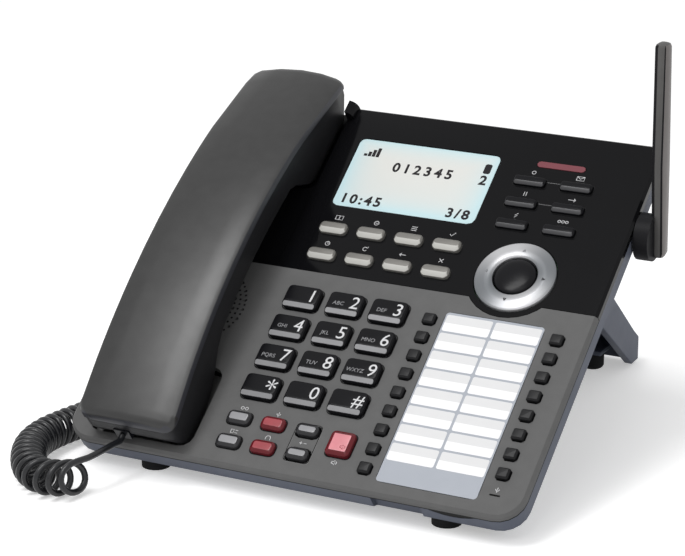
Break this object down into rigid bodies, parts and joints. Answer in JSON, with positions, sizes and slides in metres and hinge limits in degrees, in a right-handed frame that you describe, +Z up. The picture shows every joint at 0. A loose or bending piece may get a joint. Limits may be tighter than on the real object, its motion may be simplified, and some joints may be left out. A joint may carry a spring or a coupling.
{
  "type": "desk telephone",
  "caption": "Tilted desk telephone console with a corded handset in a side cradle, key pads, a display, a rear stand and a folding side antenna.",
  "frame": {"origin": "on the desk, under the middle of the telephone's outline without its cord", "axes": "+X to the right and +Y to the back as the user sees it, +Z up from the desk"},
  "size_m": [0.2484, 0.2744, 0.185],
  "materials": {
    "tray_grey": "fine moulded texture",
    "cover_charcoal": "fine spark texture",
    "fascia_black": "polished",
    "board_green": "solder resist",
    "speaker_steel": "satin",
    "switch_black": "moulded",
    "display_window": "clear",
    "lamp_red": "translucent",
    "card_paper": "printed card",
    "clear_cover": "clear",
    "key_black": "polished with a metallised edge",
    "key_silver": "satin metallised plastic",
    "key_grey": "pearl",
    "key_red": "translucent",
    "key_rubber": "matt",
    "foot_rubber": "matt",
    "antenna_grey": "fine moulded texture",
    "handset_satin": "satin metallic paint",
    "handset_dark": "fine moulded texture",
    "plug_clear": "clear",
    "cord_black": "smooth jacket"
  },
  "bodies": {
    "base": {"base_shell": "tray_grey", "top_cover": "cover_charcoal", "fascia": "fascia_black", "circuit_board": "board_green", "loudspeaker": "speaker_steel", "lcd_window": "display_window", "message_lamp": "lamp_red", "label_card": "card_paper", "label_cover": "clear_cover", "stand": "tray_grey", "stand_foot_left": "foot_rubber", "stand_foot_right": "foot_rubber", "base_plug": "plug_clear", "curly_cord": "cord_black", "base_lead": "cord_black", "handset_lead": "cord_black"},
    "handset": {"handset_back": "handset_satin", "handset_front": "handset_dark", "handset_receiver": "speaker_steel", "handset_microphone": "speaker_steel", "handset_plug": "plug_clear"},
    "hook_switch": {"hook_switch": "switch_black"},
    "antenna": {"antenna": "antenna_grey"},
    "nav_gimbal": {"nav_gimbal": "switch_black"},
    "nav_ring": {"nav_ring": "key_silver"},
    "nav_center_key": {"nav_center_key": "key_black"},
    "volume_rocker": {"volume_rocker": "key_grey"},
    "speaker_key": {"speaker_key": "key_red"},
    "line_keys_left": {"line_keys_left": "key_rubber"},
    "line_keys_right": {"line_keys_right": "key_rubber"},
    "dial_key_1": {"dial_key_1": "key_black"},
    "dial_key_2": {"dial_key_2": "key_black"},
    "dial_key_3": {"dial_key_3": "key_black"},
    "dial_key_4": {"dial_key_4": "key_black"},
    "dial_key_5": {"dial_key_5": "key_black"},
    "dial_key_6": {"dial_key_6": "key_black"},
    "dial_key_7": {"dial_key_7": "key_black"},
    "dial_key_8": {"dial_key_8": "key_black"},
    "dial_key_9": {"dial_key_9": "key_black"},
    "dial_key_star": {"dial_key_star": "key_black"},
    "dial_key_0": {"dial_key_0": "key_black"},
    "dial_key_hash": {"dial_key_hash": "key_black"},
    "menu_key_1": {"menu_key_1": "key_silver"},
    "menu_key_2": {"menu_key_2": "key_silver"},
    "menu_key_3": {"menu_key_3": "key_silver"},
    "menu_key_4": {"menu_key_4": "key_silver"},
    "menu_key_5": {"menu_key_5": "key_silver"},
    "menu_key_6": {"menu_key_6": "key_silver"},
    "menu_key_7": {"menu_key_7": "key_silver"},
    "menu_key_8": {"menu_key_8": "key_silver"},
    "call_key_1": {"call_key_1": "key_black"},
    "call_key_2": {"call_key_2": "key_black"},
    "call_key_3": {"call_key_3": "key_black"},
    "call_key_4": {"call_key_4": "key_black"},
    "call_key_5": {"call_key_5": "key_black"},
    "call_key_6": {"call_key_6": "key_black"},
    "intercom_key": {"intercom_key": "key_grey"},
    "intercom_all_key": {"intercom_all_key": "key_grey"},
    "mute_key": {"mute_key": "key_red"},
    "headset_key": {"headset_key": "key_red"}
  },
  "joints": [
    {"name": "handset_lift", "type": "slide", "parent": "base", "child": "handset", "axis": [0, -0.5821, 0.8131], "range_m": [0, 0.06]},
    {"name": "hook_switch_travel", "type": "slide", "parent": "base", "child": "hook_switch", "axis": [0, -0.5821, 0.8131], "range_m": [0, 0.0035]},
    {"name": "antenna_fold", "type": "hinge", "parent": "base", "child": "antenna", "pos_m": [0.1105, 0.02253, 0.09701], "axis": [1, 0, 0], "range_deg": [-54, 126]},
    {"name": "nav_tilt_sideways", "type": "hinge", "parent": "base", "child": "nav_gimbal", "pos_m": [0.0599, -0.01362, 0.07961], "axis": [0, 0.8131, 0.5821], "range_deg": [-2, 2], "stiffness_Nm_per_rad": 1},
    {"name": "nav_tilt_along", "type": "hinge", "parent": "nav_gimbal", "child": "nav_ring", "pos_m": [0.0599, -0.01362, 0.07961], "axis": [1, 0, 0], "range_deg": [-2, 2], "stiffness_Nm_per_rad": 1},
    {"name": "nav_center_press", "type": "slide", "parent": "base", "child": "nav_center_key", "axis": [0, 0.5821, -0.8131], "range_m": [0, 0.0008], "stiffness_N_per_m": 500},
    {"name": "volume_rock", "type": "hinge", "parent": "base", "child": "volume_rocker", "pos_m": [-0.00196, -0.09622, 0.02134], "axis": [1, 0, 0], "range_deg": [-3.5, 3.5], "stiffness_Nm_per_rad": 0.5},
    {"name": "dial_key_1_press", "type": "slide", "parent": "base", "child": "dial_key_1", "axis": [0, 0.5821, -0.8131], "range_m": [0, 0.0012], "stiffness_N_per_m": 400},
    {"name": "dial_key_2_press", "type": "slide", "parent": "base", "child": "dial_key_2", "axis": [0, 0.5821, -0.8131], "range_m": [0, 0.0012], "stiffness_N_per_m": 400},
    {"name": "dial_key_3_press", "type": "slide", "parent": "base", "child": "dial_key_3", "axis": [0, 0.5821, -0.8131], "range_m": [0, 0.0012], "stiffness_N_per_m": 400},
    {"name": "dial_key_4_press", "type": "slide", "parent": "base", "child": "dial_key_4", "axis": [0, 0.5821, -0.8131], "range_m": [0, 0.0012], "stiffness_N_per_m": 400},
    {"name": "dial_key_5_press", "type": "slide", "parent": "base", "child": "dial_key_5", "axis": [0, 0.5821, -0.8131], "range_m": [0, 0.0012], "stiffness_N_per_m": 400},
    {"name": "dial_key_6_press", "type": "slide", "parent": "base", "child": "dial_key_6", "axis": [0, 0.5821, -0.8131], "range_m": [0, 0.0012], "stiffness_N_per_m": 400},
    {"name": "dial_key_7_press", "type": "slide", "parent": "base", "child": "dial_key_7", "axis": [0, 0.5821, -0.8131], "range_m": [0, 0.0012], "stiffness_N_per_m": 400},
    {"name": "dial_key_8_press", "type": "slide", "parent": "base", "child": "dial_key_8", "axis": [0, 0.5821, -0.8131], "range_m": [0, 0.0012], "stiffness_N_per_m": 400},
    {"name": "dial_key_9_press", "type": "slide", "parent": "base", "child": "dial_key_9", "axis": [0, 0.5821, -0.8131], "range_m": [0, 0.0012], "stiffness_N_per_m": 400},
    {"name": "dial_key_star_press", "type": "slide", "parent": "base", "child": "dial_key_star", "axis": [0, 0.5821, -0.8131], "range_m": [0, 0.0012], "stiffness_N_per_m": 400},
    {"name": "dial_key_0_press", "type": "slide", "parent": "base", "child": "dial_key_0", "axis": [0, 0.5821, -0.8131], "range_m": [0, 0.0012], "stiffness_N_per_m": 400},
    {"name": "dial_key_hash_press", "type": "slide", "parent": "base", "child": "dial_key_hash", "axis": [0, 0.5821, -0.8131], "range_m": [0, 0.0012], "stiffness_N_per_m": 400},
    {"name": "menu_key_1_press", "type": "slide", "parent": "base", "child": "menu_key_1", "axis": [0, 0.5821, -0.8131], "range_m": [0, 0.0009], "stiffness_N_per_m": 400},
    {"name": "menu_key_2_press", "type": "slide", "parent": "base", "child": "menu_key_2", "axis": [0, 0.5821, -0.8131], "range_m": [0, 0.0009], "stiffness_N_per_m": 400},
    {"name": "menu_key_3_press", "type": "slide", "parent": "base", "child": "menu_key_3", "axis": [0, 0.5821, -0.8131], "range_m": [0, 0.0009], "stiffness_N_per_m": 400},
    {"name": "menu_key_4_press", "type": "slide", "parent": "base", "child": "menu_key_4", "axis": [0, 0.5821, -0.8131], "range_m": [0, 0.0009], "stiffness_N_per_m": 400},
    {"name": "menu_key_5_press", "type": "slide", "parent": "base", "child": "menu_key_5", "axis": [0, 0.5821, -0.8131], "range_m": [0, 0.0009], "stiffness_N_per_m": 400},
    {"name": "menu_key_6_press", "type": "slide", "parent": "base", "child": "menu_key_6", "axis": [0, 0.5821, -0.8131], "range_m": [0, 0.0009], "stiffness_N_per_m": 400},
    {"name": "menu_key_7_press", "type": "slide", "parent": "base", "child": "menu_key_7", "axis": [0, 0.5821, -0.8131], "range_m": [0, 0.0009], "stiffness_N_per_m": 400},
    {"name": "menu_key_8_press", "type": "slide", "parent": "base", "child": "menu_key_8", "axis": [0, 0.5821, -0.8131], "range_m": [0, 0.0009], "stiffness_N_per_m": 400},
    {"name": "call_key_1_press", "type": "slide", "parent": "base", "child": "call_key_1", "axis": [0, 0.5821, -0.8131], "range_m": [0, 0.0009], "stiffness_N_per_m": 400},
    {"name": "call_key_2_press", "type": "slide", "parent": "base", "child": "call_key_2", "axis": [0, 0.5821, -0.8131], "range_m": [0, 0.0009], "stiffness_N_per_m": 400},
    {"name": "call_key_3_press", "type": "slide", "parent": "base", "child": "call_key_3", "axis": [0, 0.5821, -0.8131], "range_m": [0, 0.0009], "stiffness_N_per_m": 400},
    {"name": "call_key_4_press", "type": "slide", "parent": "base", "child": "call_key_4", "axis": [0, 0.5821, -0.8131], "range_m": [0, 0.0009], "stiffness_N_per_m": 400},
    {"name": "call_key_5_press", "type": "slide", "parent": "base", "child": "call_key_5", "axis": [0, 0.5821, -0.8131], "range_m": [0, 0.0009], "stiffness_N_per_m": 400},
    {"name": "call_key_6_press", "type": "slide", "parent": "base", "child": "call_key_6", "axis": [0, 0.5821, -0.8131], "range_m": [0, 0.0009], "stiffness_N_per_m": 400},
    {"name": "intercom_key_press", "type": "slide", "parent": "base", "child": "intercom_key", "axis": [0, 0.5821, -0.8131], "range_m": [0, 0.0009], "stiffness_N_per_m": 400},
    {"name": "intercom_all_key_press", "type": "slide", "parent": "base", "child": "intercom_all_key", "axis": [0, 0.5821, -0.8131], "range_m": [0, 0.0009], "stiffness_N_per_m": 400},
    {"name": "mute_key_press", "type": "slide", "parent": "base", "child": "mute_key", "axis": [0, 0.5821, -0.8131], "range_m": [0, 0.0009], "stiffness_N_per_m": 400},
    {"name": "headset_key_press", "type": "slide", "parent": "base", "child": "headset_key", "axis": [0, 0.5821, -0.8131], "range_m": [0, 0.0009], "stiffness_N_per_m": 400},
    {"name": "speaker_key_press", "type": "slide", "parent": "base", "child": "speaker_key", "axis": [0, 0.5821, -0.8131], "range_m": [0, 0.001], "stiffness_N_per_m": 400},
    {"name": "line_keys_left_press", "type": "slide", "parent": "base", "child": "line_keys_left", "axis": [0, 0.5821, -0.8131], "range_m": [0, 0.0008], "stiffness_N_per_m": 400},
    {"name": "line_keys_right_press", "type": "slide", "parent": "base", "child": "line_keys_right", "axis": [0, 0.5821, -0.8131], "range_m": [0, 0.0008], "stiffness_N_per_m": 400}
  ],
  "couplings": [
    {"joint": "hook_switch_travel", "follows": "handset_lift", "ratio": 0.058333}
  ]
}
